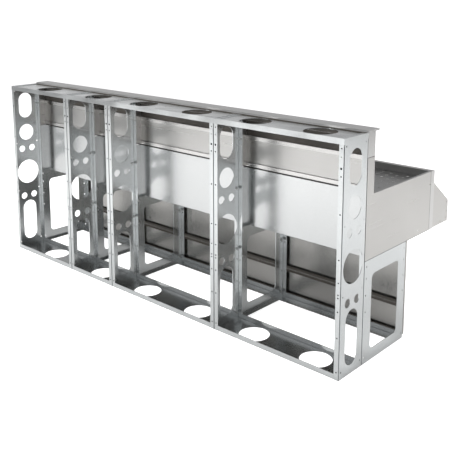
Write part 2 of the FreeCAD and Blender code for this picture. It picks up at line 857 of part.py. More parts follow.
def make_bottle_rail():
    """The trough that bottles stand in, between the two end plates."""
    body = new_body("bottle_rail")
    profile = new_sketch(body, "YZ_Plane", "-length / 2 + rail_plate + slack")
    back = "board_front_at + rail_plate"
    front = "total_depth - rail_plate"
    sides = [
        ("x", front),
        ("y", "rail_bottom + rail_plate"),
        ("x", back),
        ("y", "trough_back_top"),
        ("x", f"{back} + sheet"),
        ("y", "rail_bottom + rail_plate + sheet"),
        ("x", f"{front} - sheet"),
        ("y", "rail_front_top - slack"),
    ]
    bends = {0: "4 * sheet", 1: "4 * sheet", 4: "3 * sheet", 5: "3 * sheet"}
    add_outline(profile, sides, bends)
    pad(body, profile, "length - 2 * (rail_plate + slack)")
    place(body, "0", DIE_FRONT)


# ---- fasteners and drains ----


def add_group(label, solids):
    """Separate solids of one kind, in one object."""
    group = doc.addObject("Part::Feature", label)
    group.Label = label
    group.Shape = Part.makeCompound(solids)
    pieces.append(group)


def turned_along(shape, axis):
    """Turns a shape that was made along +Z to lie along the axis."""
    spin = FreeCAD.Rotation(FreeCAD.Vector(0, 0, 1), axis)
    shape.Placement = FreeCAD.Placement(FreeCAD.Vector(0, 0, 0), spin)
    return shape


def hexagon_prism(across, height):
    radius = across / math.sqrt(3)
    corners = []
    for i in range(7):
        angle = math.radians(60 * i)
        corners.append(FreeCAD.Vector(radius * math.cos(angle), radius * math.sin(angle), 0))
    face = Part.Face(Part.makePolygon(corners))
    return face.extrude(FreeCAD.Vector(0, 0, height))


def hex_bolt(grip):
    """A bolt and nut that clamp sheets of total thickness grip, head at z < 0."""
    head_across, head_height, nut_height = 13, 5, 6
    radius = amount("bolt_hole") / 2 - 0.1
    head = hexagon_prism(head_across, head_height)
    head.translate(FreeCAD.Vector(0, 0, -head_height))
    nut = hexagon_prism(head_across, nut_height)
    nut.translate(FreeCAD.Vector(0, 0, grip))
    shank = Part.makeCylinder(radius, grip + nut_height + 3)
    return head.fuse([nut, shank]).removeSplitter()


def pan_screw(reach):
    """A pan-head screw of shank length reach, along +Z, head at z < 0."""
    head_radius, head_height, shank_radius = 4.8, 2.6, 2.5
    head = Part.makeCylinder(head_radius, head_height)
    rim = [e for e in head.Edges if abs(e.BoundBox.ZMin - 0) < 1e-6 and e.BoundBox.ZMax < 1e-6]
    head = head.makeFillet(1.4, rim)
    head.translate(FreeCAD.Vector(0, 0, -head_height))
    return head.fuse(Part.makeCylinder(shank_radius, reach)).removeSplitter()


def copies(shape, places):
    made = []
    for x, y, z in places:
        copy = shape.copy()
        copy.translate(FreeCAD.Vector(x, y, z))
        made.append(copy)
    return made


def make_bolts():
    """The bolts that join the bays, through each pair of studs and each pair of side frames."""
    front = amount(DIE_FRONT)
    gauge = amount("gauge")
    stand = front + amount("die_depth")
    places = []
    for bay in BAYS[1:]:
        x = amount(LEFT_EDGE[bay]) - gauge
        for edge in (amount("bolt_edge"), amount("die_depth - bolt_edge")):
            for height in ("web_bolt_low", "web_bolt_middle", "web_bolt_upper", "web_bolt_high"):
                places.append((x, front + edge, amount(height)))
        for edge in (amount("stand_bolt_edge"), amount("stand_depth - stand_bolt_edge")):
            for height in STAND_BOLT_HEIGHTS[::2]:
                places.append((x, stand + edge, height))
    bolt = turned_along(hex_bolt(2 * gauge), FreeCAD.Vector(1, 0, 0))
    add_group("joint_bolts", copies(bolt, places))


def make_screws():
    """The screws through the flanges: wall to stand, wall to backsplash, and front panels."""
    inside = amount("-total_depth / 2 + die_depth - gauge")
    outside = amount("-total_depth / 2 + die_depth + stand_depth + panel_depth")
    edge = amount("screw_edge")
    to_stand, to_splash, to_front = [], [], []
    for bay in BAYS:
        left = amount(LEFT_EDGE[bay])
        right = left + amount(f"bay_{bay}")
        for x in (left + edge, right - edge):
            to_stand += [(x, inside, z) for z in STAND_FLANGE_HEIGHTS[2:]]
            to_splash += [(x, inside, z) for z in REAR_SCREW_HEIGHTS]
            to_front += [(x, outside, z) for z in STAND_FLANGE_HEIGHTS if z != 305]
    away = FreeCAD.Vector(0, 1, 0)
    short = turned_along(pan_screw(2 * amount("gauge") + 4), away)
    long = turned_along(pan_screw(amount("panel_depth + gauge") + 4), -away)
    solids = copies(short, to_stand) + copies(short, to_splash) + copies(long, to_front)
    add_group("sheet_metal_screws", solids)


def tailpiece(length):
    """A drain: a flanged strainer ring on the floor of a well, a lock nut and a tube below.
    z = 0 is the top of the well's floor."""
    sheet_thickness = amount("sheet")
    outer, inner = amount("tailpiece_outer") / 2, amount("tailpiece_inner") / 2
    ring = Part.makeCylinder(outer + 11, 2)
    nut = Part.makeCylinder(outer + 9, 8, FreeCAD.Vector(0, 0, -sheet_thickness - 8))
    tube = Part.makeCylinder(outer, length, FreeCAD.Vector(0, 0, -length))
    bore = Part.makeCylinder(inner, length + 4, FreeCAD.Vector(0, 0, -length - 1))
    bars = []
    for angle in (0, 90):
        bar = Part.makeBox(2 * inner + 2, 3, 1.5, FreeCAD.Vector(-inner - 1, -1.5, -1.5))
        bar.rotate(FreeCAD.Vector(0, 0, 0), FreeCAD.Vector(0, 0, 1), angle)
        bars.append(bar)
    return ring.fuse([nut, tube]).cut(bore).fuse(bars).removeSplitter()


def make_drains(wells):
    solids = []
    for bay, floor, inserts in wells:
        across, along = drain_place(f"bay_{bay}", inserts)
        x = amount(f"{LEFT_EDGE[bay]} + {across}")
        y = amount(f"-total_depth / 2 + {along}")
        z = amount(f"{floor} + sheet")
        solids += copies(tailpiece(TAILPIECE_LENGTH), [(x, y, z)])
    add_group("drain_tailpieces", solids)


TAILPIECE_LENGTH = 60


# ---- assembly ----


def build():
    for bay in BAYS:
        left, width = LEFT_EDGE[bay], f"bay_{bay}"
        right = f"{left} + {width}"
        holes = 2 if bay in "cd" else 1
        make_stud(f"stud_{bay}_left", left, False)
        make_stud(f"stud_{bay}_right", right, True)
        make_bottom_track(f"bottom_track_{bay}", left, width, holes)
        make_top_track(f"top_track_{bay}", left, width, holes)
        make_side_frame(f"side_frame_{bay}_left", left, False)
        make_side_frame(f"side_frame_{bay}_right", right, True)
        make_sill_rail(f"sill_rail_{bay}", left, width)
        make_front_panel(f"kick_panel_{bay}", left, width, "kick_bottom", "kick_top", (35, 140))
        access = (189, 432)
        make_front_panel(f"access_panel_{bay}", left, width, "access_bottom", "access_top", access)
        make_back_panel(f"back_panel_{bay}", left, width)
    make_side_panel("side_panel_left", "-length / 2", True)
    make_side_panel("side_panel_right", "length / 2", False)
    make_front_apron()
    make_lower_splash()
    make_splash_cap()
    make_well("a", "drainboard_pan_a", "pan_floor", "10", "2.5", 2)
    make_well("b", "dump_sink_b", "sink_floor", "55", "40")
    make_well("c", "ice_bin_c", "bin_floor", "25", "18")
    make_well("d", "drainboard_pan_d", "pan_floor", "10", "2.5", 3)
    make_insert("drain_insert_a_left", LEFT_EDGE["a"], "bay_a", 2, 0, 5)
    make_insert("drain_insert_a_right", LEFT_EDGE["a"], "bay_a", 2, 1, 5)
    make_insert("drain_insert_d_left", LEFT_EDGE["d"], "bay_d", 3, 0, 4)
    make_insert("drain_insert_d_middle", LEFT_EDGE["d"], "bay_d", 3, 1, 4)
    make_insert("drain_insert_d_right", LEFT_EDGE["d"], "bay_d", 3, 2, 4)
    make_rail_bracket("rail_bracket_left", "-length / 2", True)
    make_rail_bracket("rail_bracket_right", "length / 2", False)
    make_bottle_rail()
    make_bolts()
    make_screws()
    wells = (("a", "pan_floor", 2), ("b", "sink_floor", 1), ("c", "bin_floor", 1), ("d", "pan_floor", 3))
    make_drains(wells)


def check_and_export():
    doc.recompute()
    for item in doc.Objects:
        if "Invalid" in item.State or "Error" in item.State:
            raise RuntimeError(f"{item.Name} failed: {item.State}")
    os.makedirs("parts", exist_ok=True)
    for piece in pieces:
        if piece.Shape.isNull() or not piece.Shape.isValid():
            raise RuntimeError(f"{piece.Label} has no valid shape")
        piece.Shape.exportStep(f"parts/{piece.Label}.step")
    print(len(pieces), "nodes written")


fill_sheet()
build()
check_and_export()
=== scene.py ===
import math

import bmesh
import bpy
from mathutils import Matrix, Vector


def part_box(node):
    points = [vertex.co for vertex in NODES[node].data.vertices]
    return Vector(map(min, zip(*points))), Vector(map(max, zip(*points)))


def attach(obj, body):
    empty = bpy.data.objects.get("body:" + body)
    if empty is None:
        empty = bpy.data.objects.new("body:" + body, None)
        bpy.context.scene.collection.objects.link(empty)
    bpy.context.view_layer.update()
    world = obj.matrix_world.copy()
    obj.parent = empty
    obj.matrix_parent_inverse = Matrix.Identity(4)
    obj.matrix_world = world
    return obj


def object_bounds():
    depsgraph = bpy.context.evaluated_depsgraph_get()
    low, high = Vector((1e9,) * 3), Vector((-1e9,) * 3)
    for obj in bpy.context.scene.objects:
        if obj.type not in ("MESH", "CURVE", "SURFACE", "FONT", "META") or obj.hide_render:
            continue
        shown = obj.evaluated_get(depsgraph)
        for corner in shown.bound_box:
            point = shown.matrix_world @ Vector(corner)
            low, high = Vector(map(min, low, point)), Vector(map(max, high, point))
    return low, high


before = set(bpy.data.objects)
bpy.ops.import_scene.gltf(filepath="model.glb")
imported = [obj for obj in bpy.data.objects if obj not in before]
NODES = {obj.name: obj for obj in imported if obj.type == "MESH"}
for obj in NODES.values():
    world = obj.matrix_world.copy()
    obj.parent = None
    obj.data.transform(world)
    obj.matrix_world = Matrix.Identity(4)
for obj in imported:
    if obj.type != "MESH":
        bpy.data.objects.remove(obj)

CAD_BOX = [list(corner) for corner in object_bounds()]
ROOT = "frame"

# ---- materials ----


class Graph:
    """A small helper that builds one material's nodes."""

    def __init__(self, name):
        self.material = bpy.data.materials.new(name)
        self.material.use_nodes = True
        self.tree = self.material.node_tree
        self.tree.nodes.clear()
        output = self.tree.nodes.new("ShaderNodeOutputMaterial")
        self.shader = self.tree.nodes.new("ShaderNodeBsdfPrincipled")
        self.tree.links.new(self.shader.outputs["BSDF"], output.inputs["Surface"])
        coordinates = self.tree.nodes.new("ShaderNodeTexCoord")
        self.place = coordinates.outputs["Object"]
        self.facing = self.split(coordinates.outputs["Normal"])

    def link(self, source, target):
        self.tree.links.new(source, target)

    def split(self, vector):
        node = self.tree.nodes.new("ShaderNodeSeparateXYZ")
        self.link(vector, node.inputs["Vector"])
        return node.outputs

    def scaled(self, vector, scale):
        node = self.tree.nodes.new("ShaderNodeMapping")
        node.inputs["Scale"].default_value = scale
        self.link(vector, node.inputs["Vector"])
        return node.outputs["Vector"]

    def noise(self, vector, scale, detail=3.0, roughness=0.5, distortion=0.0):
        node = self.tree.nodes.new("ShaderNodeTexNoise")
        node.inputs["Scale"].default_value = scale
        node.inputs["Detail"].default_value = detail
        node.inputs["Roughness"].default_value = roughness
        node.inputs["Distortion"].default_value = distortion
        self.link(vector, node.inputs["Vector"])
        return node.outputs["Fac"], node.outputs["Color"]

    def ranged(self, value, low, high, new_low, new_high):
        node = self.tree.nodes.new("ShaderNodeMapRange")
        self.link(value, node.inputs["Value"])
        node.inputs["From Min"].default_value = low
        node.inputs["From Max"].default_value = high
        node.inputs["To Min"].default_value = new_low
        node.inputs["To Max"].default_value = new_high
        return node.outputs["Result"]

    def maths(self, operation, first, second):
        node = self.tree.nodes.new("ShaderNodeMath")
        node.operation = operation
        for socket, value in zip(node.inputs, (first, second)):
            if isinstance(value, (int, float)):
                socket.default_value = value
            else:
                self.link(value, socket)
        return node.outputs["Value"]

    def tinted(self, value, dark, light):
        """A colour between dark and light, by a value from 0 to 1."""
        node = self.tree.nodes.new("ShaderNodeValToRGB")
        node.color_ramp.elements[0].color = (*dark, 1)
        node.color_ramp.elements[1].color = (*light, 1)
        self.link(value, node.inputs["Fac"])
        return node.outputs["Color"]

    def inside_range(self, value, low, high):
        """1 where the value lies between low and high, else 0."""
        above = self.maths("GREATER_THAN", value, low)
        below = self.maths("LESS_THAN", value, high)
        return self.maths("MULTIPLY", above, below)

    def paint_shading(self, mask, colour, roughness, metallic=0.0):
        """Paints a colour over the metal where mask is 1: the painted shade and painted highlights
        below all go through it.
        """
        tree = self.tree
        for socket, painted in (
            (self.shader.inputs["Base Color"], (*colour, 1)),
            (self.shader.inputs["Roughness"], roughness),
            (self.shader.inputs["Metallic"], metallic),
        ):
            if socket.name == "Metallic" and metallic == 1.0:
                continue
            mix = tree.nodes.new("ShaderNodeMix")
            mix.data_type = "RGBA" if socket.type == "RGBA" else "FLOAT"
            sockets = [i for i in mix.inputs if i.enabled and i.name in ("A", "B")]
            if socket.is_linked:
                self.link(socket.links[0].from_socket, sockets[0])
            else:
                sockets[0].default_value = socket.default_value
            sockets[1].default_value = painted
            self.link(mask, mix.inputs["Factor"])
            result = next(o for o in mix.outputs if o.enabled)
            self.link(result, socket)

    def bump(self, height, strength, distance, below=None):
        node = self.tree.nodes.new("ShaderNodeBump")
        node.inputs["Strength"].default_value = strength
        node.inputs["Distance"].default_value = distance
        self.link(height, node.inputs["Height"])
        if below is not None:
            self.link(below, node.inputs["Normal"])
        return node.outputs["Normal"]


def galvanised(name, dark, light, low_rough=0.22, high_rough=0.27, dents=(2.6, 0.00024)):
    """Zinc-coated sheet: crystals a few millimetres across that each catch the light a little
    differently, faint feathering within them, and slow cloudy changes along the sheet."""
    g = Graph(name)
    _, wobble = g.noise(g.place, 45.0, 2.0)
    shift = g.tree.nodes.new("ShaderNodeVectorMath")
    shift.operation = "MULTIPLY_ADD"
    g.link(wobble, shift.inputs[0])
    shift.inputs[1].default_value = (0.006, 0.006, 0.006)
    g.link(g.place, shift.inputs[2])
    crystals = g.tree.nodes.new("ShaderNodeTexVoronoi")
    crystals.inputs["Scale"].default_value = 130.0
    g.link(shift.outputs["Vector"], crystals.inputs["Vector"])
    parts = g.tree.nodes.new("ShaderNodeSeparateColor")
    g.link(crystals.outputs["Color"], parts.inputs["Color"])
    cell, other, third = parts.outputs
    turn = g.tree.nodes.new("ShaderNodeVectorRotate")
    turn.rotation_type = "AXIS_ANGLE"
    turn.inputs["Axis"].default_value = (0.58, 0.58, 0.58)
    g.link(g.maths("MULTIPLY", third, 6.283), turn.inputs["Angle"])
    g.link(g.place, turn.inputs["Vector"])
    feather, _ = g.noise(g.scaled(turn.outputs["Vector"], (90, 900, 900)), 1.0, 2.0)
    cloud, _ = g.noise(g.place, 2.2, 3.0, 0.5)
    tone = g.maths("ADD", g.maths("MULTIPLY", cell, 0.26), g.maths("MULTIPLY", feather, 0.24))
    tone = g.maths("ADD", tone, g.ranged(cloud, 0.3, 0.7, 0.0, 0.50))
    g.link(g.tinted(tone, dark, light), g.shader.inputs["Base Color"])
    g.link(g.ranged(other, 0.0, 1.0, low_rough, high_rough), g.shader.inputs["Roughness"])
    g.shader.inputs["Metallic"].default_value = 1.0
    wave, _ = g.noise(g.place, dents[0], 1.0)
    g.link(g.bump(wave, 1.0, dents[1]), g.shader.inputs["Normal"])
    return g


def brushed(name, dark, light, along, rough=0.30, spread=0.06):
    """Stainless sheet with fine straight grain along one axis: 0, 1 or 2."""
    g = Graph(name)
    fine = [900.0, 900.0, 900.0]
    fine[along] = 5.0
    coarse = [160.0, 160.0, 160.0]
    coarse[along] = 1.6
    grain, _ = g.noise(g.scaled(g.place, fine), 1.0, 3.0, 0.6)
    streak, _ = g.noise(g.scaled(g.place, coarse), 1.0, 3.0, 0.6)
    cloud, _ = g.noise(g.place, 2.0, 3.0, 0.5)
    tone = g.maths("ADD", g.maths("MULTIPLY", grain, 0.28), g.maths("MULTIPLY", streak, 0.26))
    tone = g.maths("ADD", tone, g.ranged(cloud, 0.3, 0.7, 0.0, 0.46))
    g.link(g.tinted(tone, dark, light), g.shader.inputs["Base Color"])
    low, high = rough - spread / 2, rough + spread / 2
    g.link(g.ranged(streak, 0.3, 0.7, low, high), g.shader.inputs["Roughness"])
    g.shader.inputs["Metallic"].default_value = 1.0
    wave, _ = g.noise(g.place, 2.2, 1.0)
    g.link(g.bump(wave, 0.06, 0.004), g.shader.inputs["Normal"])
    return g


def plated(name, dark, light, rough):
    """Zinc-plated fasteners: bright, with small scuffs."""
    g = Graph(name)
    scuff, _ = g.noise(g.place, 420.0, 4.0, 0.6)
    stain, _ = g.noise(g.place, 60.0, 3.0)
    tone = g.maths("ADD", g.maths("MULTIPLY", scuff, 0.6), g.maths("MULTIPLY", stain, 0.4))
    g.link(g.tinted(tone, dark, light), g.shader.inputs["Base Color"])
    g.link(g.ranged(scuff, 0.3, 0.7, rough - 0.08, rough + 0.10), g.shader.inputs["Roughness"])
    g.shader.inputs["Metallic"].default_value = 1.0
    g.link(g.bump(scuff, 0.2, 0.0001), g.shader.inputs["Normal"])
    return g


# A dark brown painted as shade: on front-facing sides in cavities and on lips, and on the wells'
# outsides.
PAINTED_SHADE = (0.060, 0.053, 0.045)
# Painted shade along the sheets' bends.
PAINTED_BEND_SHADE = (0.13, 0.135, 0.14)
# Painted shade of the gaps along an end sheet's outline.
PAINTED_GAP_SHADE = (0.09, 0.088, 0.084)
# Painted highlight on the hems that face front.
PAINTED_HEM_HIGHLIGHT = (0.67, 0.66, 0.647)
# Painted light on the walls of a tray's holes.
PAINTED_WALL_LIGHT = (0.96, 0.96, 0.95)
FRONT = CAD_BOX[0][1]
DIE_DEPTH = 0.178
WALL_EDGE = 0.006
HEM_DEPTH = 0.018
SHADE_LINE_WIDTH = 0.0022
TRAY_SHEET = 0.0018
REAR_FLANGE = 0.17
PANEL_LIP = 0.0025
CAP_UNSHADED = 0.026


def shade_front(g, where, roughness=0.5):
    """Painted shade on the sides that face front, where the mask is 1."""
    facing = g.maths("LESS_THAN", g.facing[1], -0.5)
    g.paint_shading(g.maths("MULTIPLY", where, facing), PAINTED_SHADE, roughness)


def shade_bends(g):
    """Painted shade along the sheet's bends: the colour is darkened where the surface turns from
    front to side, and from front to top along the upper and lower edges of the wall."""
    nx, ny, nz = (g.maths("ABSOLUTE", axis, 0.0) for axis in g.facing)
    upright = g.maths("MULTIPLY", nx, ny)
    level = g.maths("MULTIPLY", ny, nz)
    height = g.split(g.place)[2]
    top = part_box("stud_d_right")[1].z
    upper = g.maths("GREATER_THAN", height, top - WALL_EDGE)
    lower = g.maths("LESS_THAN", height, WALL_EDGE)
    edge = g.maths("MAXIMUM", upper, lower)
    bent = g.maths("MAXIMUM", upright, g.maths("MULTIPLY", level, edge))
    g.paint_shading(g.ranged(bent, 0.05, 0.30, 0.0, 0.9), PAINTED_BEND_SHADE, 0.36, 1.0)


def shade_lines(g, low, high, width):
    """Painted shade: dark lines along the outline of an end sheet, seen from the side, for the
    shade in the gaps around it.
    """
    _, y, z = g.split(g.place)
    lines = g.maths("LESS_THAN", z, low.z + width)
    lines = g.maths("MAXIMUM", lines, g.maths("GREATER_THAN", z, high.z - width))
    lines = g.maths("MAXIMUM", lines, g.maths("LESS_THAN", y, low.y + width))
    lines = g.maths("MAXIMUM", lines, g.maths("GREATER_THAN", y, high.y - width))
    g.paint_shading(lines, PAINTED_GAP_SHADE, 0.4, 1.0)


def highlight_hems(g, low, high, depth):
    """Painted highlight: the hems along a sheet's lower and upper edges are painted brighter, on
    the side that faces front.
    """
    z = g.split(g.place)[2]
    lower = g.maths("LESS_THAN", z, low + depth)
    upper = g.maths("GREATER_THAN", z, high - depth)
    hems = g.maths("MAXIMUM", lower, upper)
    front = g.maths("LESS_THAN", g.facing[1], -0.3)
    g.paint_shading(g.maths("MULTIPLY", hems, front), PAINTED_HEM_HIGHLIGHT, 0.24, 1.0)


def light_hole_walls(g, top):
    """Painted light: the walls of the holes punched through a tray's top sheet are painted pale, so
    the holes read bright.
    """
    upright = g.maths("LESS_THAN", g.maths("ABSOLUTE", g.facing[2], 0.0), 0.3)
    within = g.maths("GREATER_THAN", g.split(g.place)[2], top - TRAY_SHEET)
    g.paint_shading(g.maths("MULTIPLY", upright, within), PAINTED_WALL_LIGHT, 0.45)


def shade_outside(g, middle, floor):
    """Painted shade on a well's outer sides: those that face away from its own middle, and its
    underside at the floor.
    """
    x, y, z = g.split(g.place)
    across = g.maths("MULTIPLY", g.maths("SUBTRACT", x, middle[0]), g.facing[0])
    along = g.maths("MULTIPLY", g.maths("SUBTRACT", y, middle[1]), g.facing[1])
    outward = g.maths("GREATER_THAN", g.maths("ADD", across, along), 0.02)
    lowest = g.maths("LESS_THAN", z, floor + 0.01)
    under = g.maths("MULTIPLY", lowest, g.maths("LESS_THAN", g.facing[2], -0.3))
    g.paint_shading(g.maths("MAXIMUM", outward, under), PAINTED_SHADE, 0.6)


def dress():
    """Gives every CAD node its finish."""
    frame_zinc = galvanised("galvanised_frame", (0.65, 0.67, 0.675), (0.75, 0.77, 0.77))
    shade_bends(frame_zinc)
    track_zinc = galvanised(
        "galvanised_track", (0.65, 0.67, 0.675), (0.75, 0.77, 0.77), 0.16, 0.20, (6.0, 0.006)
    )
    shade_bends(track_zinc)
    # Painted shade on the top track's sides that face front behind the rear flange: its rear lip,
    # shaded under the ledge.
    depth = track_zinc.split(track_zinc.place)[1]
    shade_front(track_zinc, track_zinc.maths("GREATER_THAN", depth, FRONT + REAR_FLANGE))
    panel_zinc = galvanised("galvanised_panel", (0.42, 0.413, 0.395), (0.52, 0.513, 0.495))
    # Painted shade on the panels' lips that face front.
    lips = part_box("access_panel_d")[0].y + PANEL_LIP
    depth = panel_zinc.split(panel_zinc.place)[1]
    shade_front(panel_zinc, panel_zinc.maths("LESS_THAN", depth, lips))
    back_zinc = galvanised("galvanised_back", (0.60, 0.61, 0.61), (0.69, 0.70, 0.70), 0.20, 0.25)
    long_steel = brushed("stainless_long_grain", (0.60, 0.60, 0.59), (0.70, 0.69, 0.68), 0)
    splash_steel = brushed("stainless_splash", (0.52, 0.515, 0.50), (0.62, 0.61, 0.595), 0)
    splash_low, splash_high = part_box("lower_backsplash")
    highlight_hems(splash_steel, splash_low.z, splash_high.z, HEM_DEPTH)
    end_steel = brushed("stainless_cross_grain", (0.54, 0.53, 0.515), (0.63, 0.62, 0.60), 1)
    cap_steel = brushed("stainless_cap", (0.60, 0.60, 0.59), (0.70, 0.69, 0.68), 0)
    # Painted shade on the cap's inner sides that face front, from the splash's top to a little
    # below the wall's top: the cavity under the ledge.
    wall_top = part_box("stud_d_right")[1].z
    height = cap_steel.split(cap_steel.place)[2]
    behind_cap = cap_steel.inside_range(height, splash_high.z, wall_top - CAP_UNSHADED)
    shade_front(cap_steel, behind_cap, 0.55)
    tray_steel = brushed("stainless_insert", (0.36, 0.36, 0.355), (0.49, 0.49, 0.485), 1, 0.30)
    light_hole_walls(tray_steel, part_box("drain_insert_d_left")[1].z)
    panel_steel = brushed("stainless_end_panel", (0.54, 0.53, 0.515), (0.63, 0.62, 0.60), 1)
    shade_lines(panel_steel, *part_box("side_panel_right"), SHADE_LINE_WIDTH)
    fitting = plated("stainless_fitting", (0.42, 0.42, 0.42), (0.72, 0.72, 0.72), 0.24)
    zinc = plated("zinc_bolt", (0.40, 0.41, 0.42), (0.76, 0.77, 0.76), 0.30)
    bright = plated("bright_screw", (0.62, 0.63, 0.63), (0.92, 0.92, 0.92), 0.18)
    rules = [
        ("back_panel", back_zinc),
        ("access_panel", panel_zinc),
        ("kick_panel", panel_zinc),
        ("side_panel", panel_steel),
        ("rail_bracket", end_steel),
        ("front_apron", long_steel),
        ("lower_backsplash", splash_steel),
        ("top_track", track_zinc),
        ("backsplash_cap", cap_steel),
        ("bottle_rail", long_steel),
        ("drain_insert", tray_steel),
        ("drain_tailpieces", fitting),
        ("joint_bolts", zinc),
        ("sheet_metal_screws", bright),
        ("", frame_zinc),
    ]
    for well in WELLS:
        low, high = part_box(well)
        dark, light = (0.40, 0.53) if "pan" in well else (0.60, 0.74)
        steel = brushed(f"stainless_{well}", (dark, dark, dark), (light, light, light), 0, 0.34)
        shade_outside(steel, (low + high) / 2, low.z)
        rules.insert(0, (well, steel))
    for name, node in NODES.items():
        finish = next(g.material for start, g in rules if name.startswith(start))
        node.data.materials.clear()
        node.data.materials.append(finish)


# ---- small parts ----

FLANGE_HOLE_HEIGHTS = (0.035, 0.189, 0.305, 0.366, 0.380, 0.432, 0.531, 0.725, 0.884)
HOOK_HOLE_HEIGHT = 0.917
REAR_SCREW_HEIGHTS = (0.965, 1.000)
STAND_SCREW_HEIGHTS = (0.305, 0.432, 0.189)
FRONT_SCREW_HEIGHTS = (0.035, 0.140, 0.189, 0.432)
SCREW_EDGE = 0.013
GAUGE = 0.002
SHEET_SCREW_HEAD = 0.0026
INNER_CROSS_OFFSET = 0.00002
OUTER_CROSS_OFFSET = 0.00008
CROSS_LONG, CROSS_DEEP, CROSS_WIDE = 0.0046, 0.0001, 0.0011
STUDS = [f"stud_{bay}_{side}" for bay in "abcd" for side in ("left", "right")]


def add_turned(bm, place, axis, profile, sides=20):
    """A turned shape. The profile is (radius, distance along the axis) pairs, and it starts and
    ends either on the axis or where it started."""
    turn = Vector((0, 0, 1)).rotation_difference(Vector(axis)).to_matrix().to_4x4()
    matrix = Matrix.Translation(place) @ turn
    rings = []
    for radius, along in profile:
        if radius == 0:
            rings.append([bm.verts.new(matrix @ Vector((0, 0, along)))])
            continue
        ring = []
        for i in range(sides):
            angle = math.tau * i / sides
            spot = Vector((radius * math.cos(angle), radius * math.sin(angle), along))
            ring.append(bm.verts.new(matrix @ spot))
        rings.append(ring)
    for first, second in zip(rings, rings[1:]):
        n, m = len(first), len(second)
        for i in range(sides):
            j = (i + 1) % sides
            corners = (first[i % n], first[j % n], second[j % m], second[i % m])
            bm.faces.new(list(dict.fromkeys(corners)))


def add_block(bm, place, size):
    matrix = Matrix.Translation(place) @ Matrix.Diagonal((*size, 1))
    bmesh.ops.create_cube(bm, size=1.0, matrix=matrix)


def finish_piece(name, bm, material):
    mesh = bpy.data.meshes.new(name)
    bmesh.ops.recalc_face_normals(bm, faces=bm.faces)
    bm.to_mesh(mesh)
    bm.free()
    mesh.materials.append(material)
    item = bpy.data.objects.new(name, mesh)
    bpy.context.scene.collection.objects.link(item)
    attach(item, ROOT)


def hole_line(stud):
    """Where the holes in a stud's flanges are, across the wall."""
    low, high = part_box(stud)
    return low.x + SCREW_EDGE if stud.endswith("left") else high.x - SCREW_EDGE


RIVET = (
    (0, 0.0011), (0.0007, 0.0011), (0.0011, 0.0013), (0.0014, 0.0006), (0.0024, 0.0002),
    (0.0031, 0.0003), (0.0034, 0.0008), (0.0034, 0.0060), (0.0018, 0.0068), (0, 0.0068),
)
PLUG = (
    (0, 0.0010), (0.0020, 0.0010), (0.0026, 0.0004), (0.0042, 0.0002), (0.0049, 0.0007),
    (0.0049, 0.0046), (0.0040, 0.0058), (0, 0.0058),
)


def flange_rivets():
    """Blind rivets and black plugs that close the holes of the front flanges. Their near-black
    colour is painted shade, standing for the shade inside the holes.
    """
    rivets, plugs = bmesh.new(), bmesh.new()
    for stud in STUDS:
        x = hole_line(stud)
        for z in FLANGE_HOLE_HEIGHTS:
            add_turned(rivets, (x, FRONT, z), (0, 1, 0), RIVET, 16)
        add_turned(plugs, (x, FRONT, HOOK_HOLE_HEIGHT), (0, 1, 0), PLUG, 24)
    # Near-black: painted shade of the flange holes.
    dark = plated("rivet_painted_shade", (0.05, 0.05, 0.052), (0.13, 0.13, 0.13), 0.42)
    black = plated("plug_painted_shade", (0.012, 0.012, 0.012), (0.03, 0.03, 0.03), 0.5)
    black.shader.inputs["Metallic"].default_value = 0.0
    finish_piece("flange_rivets", rivets, dark.material)
    finish_piece("flange_plugs", plugs, black.material)


def screw_recesses():
    """A thin dark cross at the head of each sheet-metal screw: painted shade, which stands for the
    shade in its recess. The crosses on the panels' screws lie 0.03 mm below the heads' faces, so
    they don't show."""
    bm = bmesh.new()
    inside = FRONT + DIE_DEPTH - GAUGE - SHEET_SCREW_HEAD
    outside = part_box("sheet_metal_screws")[1].y
    for stud in STUDS:
        x = hole_line(stud)
        inner = [(inside - INNER_CROSS_OFFSET, z) for z in STAND_SCREW_HEIGHTS + REAR_SCREW_HEIGHTS]
        outer = [(outside - OUTER_CROSS_OFFSET, z) for z in FRONT_SCREW_HEIGHTS]
        for y, z in inner + outer:
            add_block(bm, (x, y, z), (CROSS_LONG, CROSS_DEEP, CROSS_WIDE))
            add_block(bm, (x, y, z), (CROSS_WIDE, CROSS_DEEP, CROSS_LONG))
    # Near-black: painted shade of the screws' recesses.
    dark = plated("screw_recess_shade", (0.02, 0.02, 0.02), (0.05, 0.05, 0.05), 0.5)
    finish_piece("screw_recesses", bm, dark.material)


WASHER = (
    (0.0045, 0.0002), (0.0046, 0), (0.0082, 0), (0.0086, 0.0004), (0.0086, 0.0011),
    (0.0083, 0.0014), (0.0046, 0.0014), (0.0045, 0.0012), (0.0045, 0.0002),
)
WEB_BOLT_HEIGHTS = (0.032, 0.368, 0.674, 1.007)
STAND_BOLT_HEIGHTS = (0.029, 0.319, 0.450)
DIE_BOLT_INSET = 0.016
STAND_BOLT_INSET = 0.018


